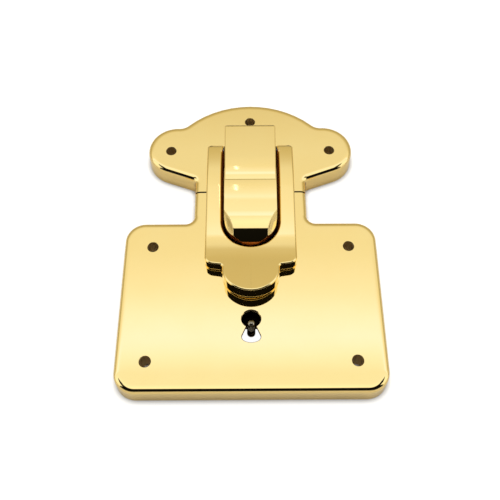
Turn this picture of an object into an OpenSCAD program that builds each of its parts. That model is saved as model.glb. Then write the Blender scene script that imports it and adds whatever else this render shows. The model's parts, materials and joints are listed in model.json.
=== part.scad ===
// Chest lock: two polished front plates, a swinging hasp with a finger tip,
// a thumb catch that draws a spring latch, and a bolt that a barrel key throws.
// The lock lies on its back as on a closed chest, with its back face at Z = 0,
// +Y towards the lid and X = 0 on the line of symmetry.
// The origin is the middle of the footprint. Distances "from the split" are
// measured along Y from the line where the two plates meet.

/* [Plates] */
// Width of the lower plate
lower_w = 100.4; // [94:0.2:110]
// Length of the lower plate, from the split to its bottom edge
lower_len = 86; // [83:0.2:94]
// Length of the lower plate's neck, from the split
neck_len = 14.7; // [13.5:0.1:17]
// Width of the neck
neck_w = 46; // [44:0.5:50]
// Corner radius of the lower plate
corner_r = 8; // [5:0.5:12]
// Radius of the hollow corners beside the neck
neck_fillet_r = 3.5; // [2:0.5:6]
// Length of the upper plate, from the split to the top of its dome
upper_len = 47.4; // [45:0.2:52]
// Radius of the dome
dome_r = 39.2; // [37:0.1:42]
// Radius of an ear
ear_r = 12.2; // [11:0.1:13.4]
// Distance of an ear's centre from the line of symmetry
ear_x = 31.5; // [30:0.1:34]
// Distance of the ears' centres from the split
ear_y = 22.7; // [21:0.1:24]
// Slope of an ear's underside, in degrees
ear_slope = 21; // [12:1:26]
// Radius of the hollow between an ear and the dome
ear_blend_r = 5.2; // [3:0.1:7]
// Radius of the hollow between an ear and the neck
ear_fillet_r = 2.2; // [1.5:0.1:4]
// Gap between the two plates
split_gap = 0.5; // [0.3:0.1:1]
// Depth of the plates, front to back
plate_h = 9; // [8.6:0.2:11]
// Radius of the plates' rounded front edges
edge_r = 1.8; // [1:0.1:3]
// Wall of the plates
wall = 1.4; // [1:0.1:1.6]

/* [Mounting holes] */
// Diameter of a mounting hole
hole_d = 4.4; // [3:0.1:5]
// Wall of the sleeve behind a mounting hole
sleeve_wall = 2.2; // [1.2:0.1:2.6]
// Lower holes, distance in from the sides
hole_side_inset = 11.4; // [10:0.1:14]
// Lower holes, distance up from the bottom edge
hole_bottom_inset = 11.6; // [10:0.1:14]
// Lower holes, distance down from the top edge beside the neck
hole_top_inset = 11.5; // [10:0.1:14]
// Ear holes, distance out from the ear's centre
ear_hole_out = 2.4; // [0:0.1:3]
// Ear holes, distance down from the ear's centre
ear_hole_down = 1.1; // [0:0.1:3]
// Top hole, distance down from the top of the dome
top_hole_inset = 10; // [8:0.1:11]

/* [Back plates] */
// Thickness of the back plates
back_t = 1.2; // [0.8:0.1:1.6]
// Depth of the back plates inside the rim
back_recess = 0.2; // [0.1:0.1:0.6]
// Clearance round the back plates
back_gap = 0.3; // [0.2:0.1:0.6]
// Diameter of a back plate screw
screw_d = 2; // [1.6:0.1:2.4]
// Diameter of a screw's countersunk head
screw_head_d = 3.8; // [3.2:0.1:4.4]
// Length of a back plate screw
screw_len = 5; // [4:0.5:6]
// Wall of a screw boss
boss_wall = 1.6; // [1:0.1:2]

/* [Hasp] */
// Width of the hasp
hasp_w = 35.9; // [34:0.1:38]
// Width of the slot between the hasp's arms
slot_w = 22.8; // [22.4:0.1:24]
// Round end of the slot, distance from the split
slot_end = 28.8; // [28.4:0.1:29.6]
// Thickness of the hasp's arms
hasp_t = 4.7; // [4.2:0.1:5.2]
// Gap between the hasp and the plates
hasp_gap = 0.3; // [0.2:0.1:0.6]
// Hinge pin, distance from the split
hinge_y = 19.2; // [17:0.1:21]
// Diameter of the hinge pin
hinge_pin_d = 2.8; // [2:0.1:3]
// End of the finger tip, distance from the split
tip_end = 49.8; // [48.8:0.1:51]
// Width of the finger tip
tip_w = 22; // [20.4:0.1:23]
// Radius of the finger tip's end
tip_arc_r = 12; // [11.4:0.1:16]
// Radius of the finger tip's corners
tip_corner_r = 9.6; // [7:0.1:10.2]
// Where the hasp starts to rise towards the tip, distance from the split
kick_start = 28; // [24:0.2:31]
// Height of the finger tip above the arms
tip_rise = 4; // [2:0.1:6]
// Height of the nail gap under the finger tip
nail_gap = 1.2; // [0.5:0.1:2.5]
// Depth of the nail gap, in from the end of the tip
nail_depth = 3.8; // [2:0.1:4.4]
// Hasp's shoulders, distance from the split at the side
shoulder_y = 36.3; // [35.2:0.1:37.2]
// Slope of the shoulders, in degrees
shoulder_slope = 8; // [4:1:16]
// Radius of the shoulders' outer corners
shoulder_r = 2.6; // [1:0.1:3]
// Radius of the hollow between a shoulder and the tip
shoulder_fillet_r = 1.4; // [1:0.1:2.4]
// Radius of the corners at the arms' upper ends
arm_corner_r = 1.4; // [0.6:0.1:2]

/* [Strap and thumb catch] */
// Width of the strap and of the thumb catch
strap_w = 21; // [20:0.1:21.4]
// Upper end of the strap, distance from the split
strap_len = 29; // [27:0.2:31]
// Height of the strap above the plate, at its highest
strap_rise = 9.5; // [8:0.1:10.5]
// Drop of the strap towards its upper end
strap_end_drop = 0.4; // [0:0.1:2]
// Drop of the strap and of the catch at the seam between them
seam_drop = 0.7; // [0.2:0.1:1.5]
// Length over which the strap rounds down to the seam
seam_round = 7.5; // [4:0.5:10]
// Height of the thumb catch above the plate
catch_rise = 9.2; // [8:0.1:10]
// Where the catch starts to round down, distance from the split
round_start = 11.5; // [10:0.1:12]
// Radius of the catch's crown, seen from the side
crown_r = 20; // [16:0.5:22]
// Angle over which the crown turns into the nose, in degrees
crown_turn = 27; // [22:1:30]
// Radius of the catch's nose, seen from the side
nose_r = 12.2; // [10.5:0.1:13.5]
// Angle at which the nose meets the catch's upright front, in degrees
nose_turn = 60; // [52:1:68]
// Where the slanted faces beside the nose start, distance from the split
facet_start = 15.4; // [13.5:0.1:17]
// Turn of the slanted faces towards the nose, in degrees
facet_turn = 35; // [30:1:40]
// Slant of the slanted faces, in degrees from upright
facet_slant = 27; // [20:1:34]
// Depth of the catch's skirt inside the lower plate
skirt = 1.6; // [1:0.1:1.8]
// Clearance round the catch in the plate's window
window_gap = 0.6; // [0.4:0.1:0.8]
// Catch pin, distance from the split
catch_pin_y = 4.5; // [4:0.1:5.5]
// Diameter of the catch pin
catch_pin_d = 2; // [1.5:0.1:2.4]
// Angle that the catch can be pressed, in degrees
catch_angle = 6; // [4:0.5:7]

/* [Latch, staple and bolt] */
// Width of the latch
latch_w = 12; // [10:0.2:12.4]
// Thickness of the latch
latch_t = 2.4; // [2:0.1:2.6]
// Wedge under the catch, distance of its front face from the split
wedge_y = 22.5; // [22:0.1:23.5]
// Staple under the hasp, distance of its middle from the split
staple_y = 40; // [39.6:0.1:40.6]
// Length of the staple along Y
staple_len = 8; // [7:0.1:8.4]
// Thickness of the staple
staple_t = 2.5; // [2:0.1:3]
// Thickness of the bolt
bolt_t = 2; // [1.6:0.1:2.2]
// Reach of the bolt, from its finger's tip to its far side
bolt_reach = 14; // [13.4:0.1:15]
// Room between the staple and the bolt's plate
bolt_room = 2.5; // [2.2:0.1:2.8]
// Room between the staple and the leaf spring
leaf_room = 2.6; // [2.4:0.1:3]
// Thickness of the thumb catch's bracket
bracket_t = 1.4; // [1:0.1:1.8]
// Width of the bolt's finger
finger_w = 3; // [2.5:0.1:3.2]
// Throw of the bolt
bolt_throw = 5; // [4:0.1:5.4]
// Diameter of the bolt's guide studs
stud_d = 2.5; // [2:0.1:2.8]

/* [Keyhole] */
// Round part of the keyhole, distance from the split
keyhole_y = 57.6; // [57:0.1:58.4]
// Diameter of the round part of the keyhole
keyhole_d = 7.3; // [6.6:0.1:7.8]
// Width of the keyhole's waist
keyhole_waist = 4; // [3.4:0.1:4.6]
// Width of the keyhole's foot
keyhole_foot = 7.1; // [6:0.1:8]
// Bottom of the keyhole's foot, distance from the round part's centre
keyhole_drop = 9.4; // [8.5:0.1:11]
// Key post, distance below the round part's centre
post_drop = 2.1; // [1.6:0.1:2.4]
// Diameter of the key post's head
post_d = 3; // [2.4:0.1:3.2]
// Diameter of the key post's foot
post_foot_d = 2.2; // [1.8:0.1:2.6]
// Height of the key post above the plate's face
post_proud = 0.8; // [-1:0.1:1]

/* [Fits] */
// Play of a moving piece in its guide
play = 0.3; // [0.2:0.05:0.4]
// Radial play of a moving piece on its pin
pin_play = 0.05; // [0.03:0.01:0.08]
// Radial play of a pin or screw in the piece that holds it
seat_play = 0.02; // [0.01:0.01:0.05]

/* [Hidden] */
$fn = 48;

gold = [0.93, 0.78, 0.36];
brass = [0.79, 0.65, 0.32];
steel = [0.62, 0.63, 0.65];
dark_steel = [0.30, 0.29, 0.28];

// The split lies where the whole length is centred on the origin
split_y = (lower_len - upper_len) / 2;
ceiling = plate_h - wall;
back_top = back_recess + back_t;
cut = 1;
arc_steps = 8;
edge_steps = 5;
edge_limit = min(edge_r, corner_r - 0.5, ear_r - 0.5);

// Mounting holes, from the split
lower_hole_x = lower_w / 2 - hole_side_inset;
lower_holes = [for (x = [-1, 1], y = [hole_bottom_inset - lower_len, -neck_len - hole_top_inset])
    [x * lower_hole_x, y]];
upper_holes = concat([for (x = [-1, 1]) [x * (ear_x + ear_hole_out), ear_y - ear_hole_down]],
    [[0, upper_len - top_hole_inset]]);
sleeve_r = hole_d / 2 + sleeve_wall;

// Back plate screws, from the split
boss_r = screw_d / 2 + boss_wall;
boss_edge = wall + boss_r + 1;
neck_screw_x = neck_w / 2 - boss_edge;
lower_screws = concat(
    [for (x = [-1, 1]) [x * neck_screw_x, -neck_len / 2 - 3]],
    [for (x = [-1, 1]) [x * (lower_w / 2 - boss_edge), -(neck_len + lower_len) / 2]],
    [for (x = [-1, 1]) [x * lower_hole_x / 2, boss_edge - lower_len]]);
upper_screws = concat(
    [for (x = [-1, 1]) [x * neck_screw_x, ear_fillet_r + 3]],
    [for (x = [-1, 1]) [x * dome_r * 0.42, upper_len - top_hole_inset - 2]]);

// Hasp and its hinge
hasp_bottom = plate_h + hasp_gap;
hasp_top = hasp_bottom + hasp_t;
hinge_z = hasp_bottom + hasp_t / 2;
barrel_r = hasp_t / 2;
arm_end = hinge_y + barrel_r;
tip_top = hasp_top + tip_rise;

// Thumb catch
catch_bottom = plate_h - skirt;
catch_top = plate_h + catch_rise;
catch_len = round_start + crown_r * sin(crown_turn) + nose_r * (sin(nose_turn) - sin(crown_turn));
catch_round = strap_w / 2;
catch_boss_r = catch_pin_d / 2 + 1.2;
catch_pin_z = ceiling - catch_boss_r + 0.4;
seam_z = plate_h + strap_rise - seam_drop;
bracket_x = strap_w / 2 + window_gap + play;

// Latch and its wedge
latch_bottom = back_top + play + 0.5;
latch_top = latch_bottom + latch_t;
wedge_w = 5;
wedge_bottom = latch_bottom + 1.8;
wedge_rise = catch_bottom - wedge_bottom;
wedge_foot = 2.1;
wedge_arm = wedge_y - wedge_foot / 2 - catch_pin_y;
latch_travel = wedge_arm * catch_angle * PI / 180;
latch_window = wedge_y + latch_travel + 0.5;
latch_tail = 13.4;
stop_t = 1.5;
stop_y = catch_pin_y + catch_boss_r + play + stop_t;

// Staple
staple_back = staple_y - staple_len / 2;
staple_front = staple_y + staple_len / 2;
staple_reach = norm([hinge_y + staple_front, hinge_z - back_top]);
staple_swing = staple_reach - (hinge_y + staple_front);
staple_bar = 1.1;
staple_bottom = back_top + play + 0.3;
flange_t = 1.2;
flange_w = 10;
flange_len = staple_len + 1.6;
staple_screw_x = flange_w / 2 - 1.9;
staple_screw_d = 1.6;
staple_screw_head = 2.8;
staple_screw_len = 3.2;

// Bolt
bolt_bottom = back_top + 2.2;
bolt_top = bolt_bottom + bolt_t;
eye_w = finger_w + 1;
eye_t = bolt_t + 1;
finger_tip_x = -staple_t / 2 - 2 * play;
bolt_left = finger_tip_x - bolt_reach;
bolt_arm_w = 7;
key_y = keyhole_y + post_drop;
bit_r = keyhole_drop - post_drop - 0.5;
bolt_foot = key_y - bit_r + 1.6;
bolt_head = staple_front + bolt_room;
talon_w = 6;
talon_depth = 3;
stud_slot_w = stud_d + 2 * play;
stud_y = (bolt_head + bolt_foot - talon_depth) / 2 + 0.2;
stud_x = [bolt_left + 2.2 + bolt_throw + stud_slot_w / 2, 9.5];
bolt_right = stud_x[1] + stud_slot_w / 2 + 2;
stud_head_d = stud_d + 2;
stud_head_t = 0.9;

// Leaf spring beside the bolt
leaf_t = 0.4;
leaf_span = 12;
leaf_sag = 0.9;
leaf_r = (leaf_span * leaf_span / 4 + leaf_sag * leaf_sag) / (2 * leaf_sag);
leaf_x = staple_t / 2 + play + leaf_room + leaf_span / 2;
leaf_post_r = 1;
leaf_low_y = bolt_head - play;

// Ward
ward_r = 4.5;
ward_t = 0.8;
ward_h = bolt_bottom - back_top - 0.5;

// Coil springs
wire_r = 0.3;
coil_r = 1.5;
coil_sides = 6;
coil_rings = 8;
spring_gap = 0.05;
catch_spring_x = strap_w / 2 - coil_r - wire_r - 0.5;
catch_spring_y = wedge_y - 2.5;
catch_spring_len = catch_bottom - back_top - 2 * spring_gap;
latch_spring_len = latch_tail - stop_y - 2 * spring_gap;
latch_spring_z = latch_bottom + latch_t / 2;

// Points of an arc with the outward normal at each point; side is -1 on a hollow arc
function arc(c, r, a0, a1, side) = [for (i = [0:arc_steps]) let (a = a0 + (a1 - a0) * i / arc_steps)
    [c[0] + r * cos(a), c[1] + r * sin(a), side * cos(a), side * sin(a)]];
// The left half of an outline from its right half
function mirrored(p) = [for (i = [len(p) - 1:-1:0]) [-p[i][0], p[i][1], -p[i][2], p[i][3]]];
function whole(half) = concat(half, mirrored(half));
function inset(path, d) = [for (q = path) [q[0] - d * q[2], q[1] - d * q[3]]];

// Right half of the lower plate's outline, run past the split to be cut there
lower_half = concat(
    arc([lower_w / 2 - corner_r, corner_r - lower_len], corner_r, -90, 0, 1),
    arc([lower_w / 2 - corner_r, -neck_len - corner_r], corner_r, 0, 90, 1),
    arc([neck_w / 2 + neck_fillet_r, neck_fillet_r - neck_len], neck_fillet_r, 270, 180, -1),
    [[neck_w / 2, 2 * cut, 1, 0]]);
lower_hub = [0, -neck_len - corner_r - 4];
upper_hub = [0, ear_y - ear_r / 2];

// Upper plate: an ear's underside runs straight to a hollow beside the neck, and a hollow
// arc that touches the ear and the dome joins them
dome_c = [0, upper_len - dome_r];
ear_c = [ear_x, ear_y];
under = ear_c + ear_r * [sin(ear_slope), -cos(ear_slope)];
foot_x = neck_w / 2 + ear_fillet_r;
foot_y = under[1] - (under[0] - foot_x) * tan(ear_slope) - ear_fillet_r / cos(ear_slope);
ear_start_a = ear_slope - 90;
crown_d = norm(ear_c - dome_c);
crown_u = (ear_c - dome_c) / crown_d;
crown_a = (pow(dome_r + ear_blend_r, 2) - pow(ear_r + ear_blend_r, 2) + crown_d * crown_d) / (2 * crown_d);
crown_h = sqrt(pow(dome_r + ear_blend_r, 2) - crown_a * crown_a);
crown_c = dome_c + crown_a * crown_u + crown_h * [-crown_u[1], crown_u[0]];
ear_end_a = atan2(crown_c[1] - ear_c[1], crown_c[0] - ear_c[0]);
dome_a = atan2(crown_c[1] - dome_c[1], crown_c[0] - dome_c[0]);
upper_half = concat(
    [[neck_w / 2, -2 * cut, 1, 0]],
    arc([foot_x, foot_y], ear_fillet_r, 180, 90 + ear_slope, -1),
    arc(ear_c, ear_r, ear_start_a, (ear_start_a + ear_end_a) / 2, 1),
    arc(ear_c, ear_r, (ear_start_a + ear_end_a) / 2, ear_end_a, 1),
    arc(crown_c, ear_blend_r, ear_end_a + 180, dome_a + 180, -1),
    arc(dome_c, dome_r, dome_a, 90, 1));

// Right half of the hasp's outline, from the middle of the tip to the arm's end
tip_c = [0, tip_arc_r - tip_end];
tip_k = [tip_w / 2 - tip_corner_r, 0];
tip_k_y = tip_c[1] - sqrt(pow(tip_arc_r - tip_corner_r, 2) - tip_k[0] * tip_k[0]);
tip_a = atan2(tip_k_y - tip_c[1], tip_k[0]);
waist_x = tip_w / 2 + shoulder_fillet_r;
waist_in = hasp_w / 2 - waist_x;
waist_y = -shoulder_y - waist_in * tan(shoulder_slope) - shoulder_fillet_r / cos(shoulder_slope);
shoulder_x = hasp_w / 2 - shoulder_r;
shoulder_c = -shoulder_y - shoulder_r * tan(shoulder_slope) + shoulder_r / cos(shoulder_slope);
hasp_half = concat(
    arc(tip_c, tip_arc_r, -90, tip_a, 1),
    arc([tip_k[0], tip_k_y], tip_corner_r, tip_a, 0, 1),
    arc([waist_x, waist_y], shoulder_fillet_r, 180, 90 + shoulder_slope, -1),
    arc([shoulder_x, shoulder_c], shoulder_r, shoulder_slope - 90, 0, 1),
    arc([hasp_w / 2 - arm_corner_r, arm_end - arm_corner_r], arm_corner_r, 0, 90, 1));

// Centre line and rings of a coil, and the least gap between its curls
function coil_point(a, pitch) = [coil_r * cos(a), coil_r * sin(a), pitch * a / 360];
function coil_ring(a, pitch) = let (
        slope = atan2(pitch, 2 * PI * coil_r),
        out = [cos(a), sin(a), 0],
        up = [sin(a) * sin(slope), -cos(a) * sin(slope), cos(slope)])
    [for (k = [0:coil_sides - 1]) let (b = 360 * k / coil_sides)
        coil_point(a, pitch) + wire_r * (cos(b) * out + sin(b) * up)];
function coil_gap(turns, pitch) = min([for (i = [0:turns * coil_rings - coil_rings / 2],
        j = [i + coil_rings / 2:turns * coil_rings])
    norm(coil_point(360 * i / coil_rings, pitch) - coil_point(360 * j / coil_rings, pitch))]) - 2 * wire_r;
catch_turns = 4;
latch_turns = 3;
function coil_pitch(length, turns) = (length - 2 * wire_r) / turns;
echo(catch_spring_gap = coil_gap(catch_turns, coil_pitch(catch_spring_len, catch_turns)));
echo(latch_spring_gap = coil_gap(latch_turns, coil_pitch(latch_spring_len, latch_turns)));

// Wound spring along +Z from the origin, one unbroken tube
module coil(length, turns) {
    pitch = coil_pitch(length, turns);
    last = turns * coil_rings;
    points = [for (i = [0:last]) each coil_ring(360 * i / coil_rings, pitch)];
    sides = [for (i = [0:last - 1], k = [0:coil_sides - 1]) let (
            a = i * coil_sides + k,
            b = i * coil_sides + (k + 1) % coil_sides)
        each [[a, b, b + coil_sides], [a, b + coil_sides, a + coil_sides]]];
    start = [for (k = [coil_sides - 1:-1:0]) k];
    finish = [for (k = [0:coil_sides - 1]) last * coil_sides + k];
    translate([0, 0, wire_r])
        polyhedron(points, concat(sides, [start, finish]));
}

// Solid slab of an outline with a rounded front edge; the caps fan out from a hub
// that sees the whole outline
module rounded_slab(path, hub, h, r) {
    n = len(path);
    rings = concat([[0, 0]], [for (i = [0:edge_steps]) let (a = 90 * i / edge_steps)
        [r * (1 - cos(a)), h - r + r * sin(a)]]);
    rim = [for (g = rings, q = path) [q[0] - g[0] * q[2], q[1] - g[0] * q[3], g[1]]];
    points = concat(rim, [[hub[0], hub[1], 0], [hub[0], hub[1], h]]);
    last = (len(rings) - 1) * n;
    sides = [for (k = [0:len(rings) - 2], i = [0:n - 1]) let (a = k * n + i, b = k * n + (i + 1) % n)
        each [[a, a + n, b + n], [a, b + n, b]]];
    bottom = [for (i = [0:n - 1]) [len(rim), i, (i + 1) % n]];
    top = [for (i = [0:n - 1]) [len(rim) + 1, last + (i + 1) % n, last + i]];
    polyhedron(points, concat(sides, bottom, top));
}

// Everything on one side of the split, leaving a margin to the split's middle
module beyond_split(side, margin) {
    span = lower_len + upper_len;
    translate([-lower_w, side > 0 ? margin : -margin - span, -cut])
        cube([2 * lower_w, span, 4 * plate_h]);
}

module drill(places, d, z0, z1) {
    for (p = places)
        translate([p[0], p[1], z0])
            cylinder(d = d, h = z1 - z0);
}

// Extrusion along X, centred, of a profile drawn in Y and Z
module along_x(w) {
    translate([-w / 2, 0, 0])
        rotate([90, 0, 90])
            linear_extrude(w)
                children();
}

// Countersunk screw with its head flush at Z = 0, pointing up
module countersunk(d, head_d, length) {
    head_h = (head_d - d) / 2;
    cylinder(d1 = head_d, d2 = d, h = head_h);
    cylinder(d = d, h = length);
}

// Tray of one plate with its sleeves and screw bosses
module tray(path, hub, side, holes, screws) {
    difference() {
        union() {
            difference() {
                intersection() {
                    rounded_slab(path, hub, plate_h, edge_limit);
                    beyond_split(side, split_gap / 2);
                }
                intersection() {
                    translate([0, 0, -cut])
                        linear_extrude(ceiling + cut)
                            polygon(inset(path, wall));
                    beyond_split(side, split_gap / 2 + wall);
                }
            }
            drill(holes, 2 * sleeve_r, 0, ceiling + wall / 2);
            drill(screws, 2 * boss_r, back_top, ceiling + wall / 2);
        }
        drill(holes, hole_d, -cut, plate_h + cut);
        drill(screws, screw_d + 2 * seat_play, back_top - cut, back_recess + screw_len + seat_play);
    }
}

// Sheet that closes a tray
module closing_sheet(path, side, holes, screws) {
    difference() {
        intersection() {
            translate([0, 0, back_recess])
                linear_extrude(back_t)
                    polygon(inset(path, wall + back_gap));
            beyond_split(side, split_gap / 2 + wall + back_gap);
        }
        drill(holes, 2 * sleeve_r + 2 * back_gap, -cut, plate_h);
        for (p = screws)
            translate([p[0], p[1], back_recess])
                countersunk(screw_d + 2 * seat_play, screw_head_d + 2 * seat_play, plate_h);
    }
}

module sheet_screws(screws) {
    for (p = screws)
        translate([p[0], p[1], back_recess])
            countersunk(screw_d, screw_head_d, screw_len);
}

// Keyhole: a round part over a foot that widens downwards
module keyhole() {
    translate([0, -keyhole_y])
        circle(d = keyhole_d);
    foot_r = keyhole_foot / 2;
    low = -keyhole_y - keyhole_drop;
    intersection() {
        polygon([[-keyhole_waist / 2, -keyhole_y - post_drop], [-foot_r, low + foot_r * 0.7],
            [-foot_r, low], [foot_r, low], [foot_r, low + foot_r * 0.7],
            [keyhole_waist / 2, -keyhole_y - post_drop]]);
        translate([0, low + keyhole_drop])
            circle(r = keyhole_drop);
    }
}

// Plan of the thumb catch, grown by a clearance
module catch_plan(grow) {
    half = strap_w / 2 + grow;
    nose_y = catch_round - catch_len;
    translate([-half, nose_y])
        square([2 * half, -nose_y - split_gap / 2]);
    translate([0, nose_y])
        circle(r = half);
}

module lower_plate() {
    color(gold)
        translate([0, split_y, 0])
            difference() {
                tray(whole(lower_half), lower_hub, -1, lower_holes, lower_screws);
                translate([0, 0, ceiling - cut])
                    linear_extrude(wall + 2 * cut)
                        keyhole();
                translate([0, 0, ceiling - cut])
                    linear_extrude(wall + 2 * cut)
                        intersection() {
                            catch_plan(window_gap);
                            translate([-lower_w / 2, -lower_len - split_gap / 2 - wall])
                                square([lower_w, lower_len]);
                        }
                translate([-staple_t / 2 - play, -staple_front - staple_swing - play, ceiling - cut])
                    cube([staple_t + 2 * play, staple_len + staple_swing + 2 * play, wall + 2 * cut]);
            }
}

module lower_back_plate() {
    window_w = keyhole_foot + 1.4;
    window_top = key_y - post_foot_d / 2 - 0.6;
    window_low = keyhole_y + keyhole_drop + 1;
    tongue_r = post_foot_d / 2 + 0.5;
    color(brass)
        translate([0, split_y, 0])
            difference() {
                closing_sheet(whole(lower_half), -1, lower_holes, lower_screws);
                translate([0, 0, -cut])
                    linear_extrude(back_top + 2 * cut)
                        difference() {
                            translate([-window_w / 2, -window_low])
                                square([window_w, window_low - window_top]);
                            translate([0, -key_y])
                                circle(r = tongue_r);
                            translate([-tongue_r, -key_y])
                                square([2 * tongue_r, key_y]);
                        }
                drill([[0, -key_y]], post_foot_d + 2 * seat_play, -cut, back_top + cut);
                drill([for (x = stud_x) [x, -stud_y]], stud_d + 2 * seat_play, -cut, back_top + cut);
            }
}

module lower_back_screws() {
    color(steel)
        translate([0, split_y, 0])
            sheet_screws(lower_screws);
}

module upper_plate() {
    color(gold)
        translate([0, split_y, 0])
            difference() {
                tray(whole(upper_half), upper_hub, 1, upper_holes, upper_screws);
                drill(rivet_places, rivet_d + 2 * seat_play, ceiling - cut, plate_h + cut);
            }
}

module upper_back_plate() {
    color(brass)
        translate([0, split_y, 0])
            closing_sheet(whole(upper_half), 1, upper_holes, upper_screws);
}

module upper_back_screws() {
    color(steel)
        translate([0, split_y, 0])
            sheet_screws(upper_screws);
}

// Rivets that hold the strap, from inside the upper tray
rivet_d = 2.5;
rivet_head_d = 4.4;
rivet_head_t = 1.1;
rivet_in = 2.2;
rivet_places = [for (x = [-1, 1], y = [split_gap / 2 + wall + rivet_head_d / 2 + 0.6, strap_len - 4])
    [x * (strap_w / 2 - 4), y]];

module strap_rivets() {
    color(brass)
        translate([0, split_y, 0])
            for (p = rivet_places)
                translate([p[0], p[1], 0]) {
                    translate([0, 0, ceiling - rivet_head_t])
                        cylinder(d = rivet_head_d, h = rivet_head_t);
                    translate([0, 0, ceiling - rivet_head_t])
                        cylinder(d = rivet_d, h = rivet_head_t + wall + rivet_in);
                }
}

module hinge_strap() {
    top = plate_h + strap_rise;
    front = split_gap / 2;
    steps = 6;
    round_off = [for (i = [0:steps]) let (s = i / steps)
        [front + seam_round * s, seam_z + seam_drop * (1 - pow(1 - s, 2))]];
    color(gold)
        translate([0, split_y, 0])
            difference() {
                along_x(strap_w)
                    polygon(concat([[front, plate_h]], round_off,
                        [[strap_len, top - strap_end_drop], [strap_len, plate_h]]));
                along_x(strap_w + 2 * cut)
                    translate([hinge_y, hinge_z])
                        circle(d = hinge_pin_d + 2 * seat_play);
                drill(rivet_places, rivet_d + 2 * seat_play, plate_h - cut, plate_h + rivet_in + seat_play);
            }
}

module hinge_pin() {
    color(steel)
        translate([0, split_y, 0])
            along_x(hasp_w - 2 * play)
                translate([hinge_y, hinge_z])
                    circle(d = hinge_pin_d);
}

module hinge_washers() {
    room = (slot_w - strap_w) / 2;
    washer_t = room - play;
    color(dark_steel)
        translate([0, split_y, 0])
            for (side = [-1, 1])
                translate([side * (strap_w / 2 + room / 2), 0, 0])
                    along_x(washer_t)
                        translate([hinge_y, hinge_z])
                            difference() {
                                circle(r = barrel_r - play);
                                circle(d = hinge_pin_d + 2 * seat_play);
                            }
}

module hasp() {
    profile_low = hasp_bottom + nail_gap;
    color(gold)
        translate([0, split_y, 0])
            difference() {
                intersection() {
                    translate([0, 0, hasp_bottom - cut])
                        linear_extrude(2 * plate_h)
                            polygon(inset(whole(hasp_half), 0));
                    along_x(hasp_w + 2 * cut)
                        union() {
                            polygon([[hinge_y, hasp_bottom], [hinge_y, hasp_top], [-kick_start, hasp_top],
                                [-tip_end, tip_top], [-tip_end, profile_low],
                                [nail_depth - tip_end, hasp_bottom]]);
                            translate([hinge_y, hinge_z])
                                circle(r = barrel_r);
                        }
                }
                translate([0, slot_w / 2 - slot_end, 0])
                    cylinder(d = slot_w, h = 4 * plate_h);
                translate([-slot_w / 2, slot_w / 2 - slot_end, 0])
                    cube([slot_w, slot_end + arm_end, 4 * plate_h]);
                along_x(hasp_w + 2 * cut)
                    translate([hinge_y, hinge_z])
                        circle(d = hinge_pin_d + 2 * pin_play);
                translate([-flange_w / 2 - seat_play, -staple_y - flange_len / 2 - seat_play, 0])
                    cube([flange_w + 2 * seat_play, flange_len + 2 * seat_play,
                        hasp_bottom + flange_t + seat_play]);
                drill([for (x = [-1, 1]) [x * staple_screw_x, -staple_y]],
                    staple_screw_d + 2 * seat_play, plate_h, hasp_bottom + staple_screw_len + seat_play);
            }
}

module hasp_staple() {
    eye_z = bolt_bottom + bolt_t / 2;
    color(steel)
        translate([0, split_y, 0])
            difference() {
                union() {
                    translate([-flange_w / 2, -staple_y - flange_len / 2, hasp_bottom])
                        cube([flange_w, flange_len, flange_t]);
                    translate([-staple_t / 2, -staple_front, staple_bottom])
                        cube([staple_t, staple_len, hasp_bottom + flange_t - staple_bottom]);
                }
                translate([-staple_t, -staple_y - eye_w / 2, eye_z - eye_t / 2])
                    cube([2 * staple_t, eye_w, eye_t]);
                for (x = [-1, 1])
                    translate([x * staple_screw_x, -staple_y, hasp_bottom])
                        countersunk(staple_screw_d + 2 * seat_play,
                            staple_screw_head + 2 * seat_play, plate_h);
            }
}

module staple_screws() {
    color(dark_steel)
        translate([0, split_y, 0])
            for (x = [-1, 1])
                translate([x * staple_screw_x, -staple_y, hasp_bottom])
                    countersunk(staple_screw_d, staple_screw_head, staple_screw_len);
}

// Side view of the thumb catch: level, then rounded down to its upright front
module catch_profile() {
    rear = -split_gap / 2;
    skirt_rear = rear - wall - window_gap;
    level = 6;
    steps = 6;
    crown_c = [-round_start, catch_top - crown_r];
    nose_c = crown_c + (crown_r - nose_r) * [-sin(crown_turn), cos(crown_turn)];
    rise = [for (i = [0:steps]) let (s = i / steps)
        [rear - level * s, seam_z + (catch_top - seam_z) * (1 - pow(1 - s, 2))]];
    crown = [for (i = [0:steps]) let (a = crown_turn * i / steps) crown_c + crown_r * [-sin(a), cos(a)]];
    nose = [for (i = [1:steps]) let (a = crown_turn + (nose_turn - crown_turn) * i / steps)
        nose_c + nose_r * [-sin(a), cos(a)]];
    foot = [[skirt_rear, catch_bottom], [skirt_rear, hasp_bottom], [rear, hasp_bottom]];
    polygon(concat(foot, rise, crown, nose, [[-catch_len, catch_bottom]]));
}

// Slanted faces that cut the catch's two upper corners beside the nose
module catch_facets() {
    for (side = [-1, 1])
        translate([side * strap_w / 2, -facet_start, catch_top])
            rotate([0, 0, 90 - side * (90 + facet_turn)])
                rotate([0, -facet_slant, 0])
                    translate([0, -strap_w, -strap_w])
                        cube(2 * strap_w);
}

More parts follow.
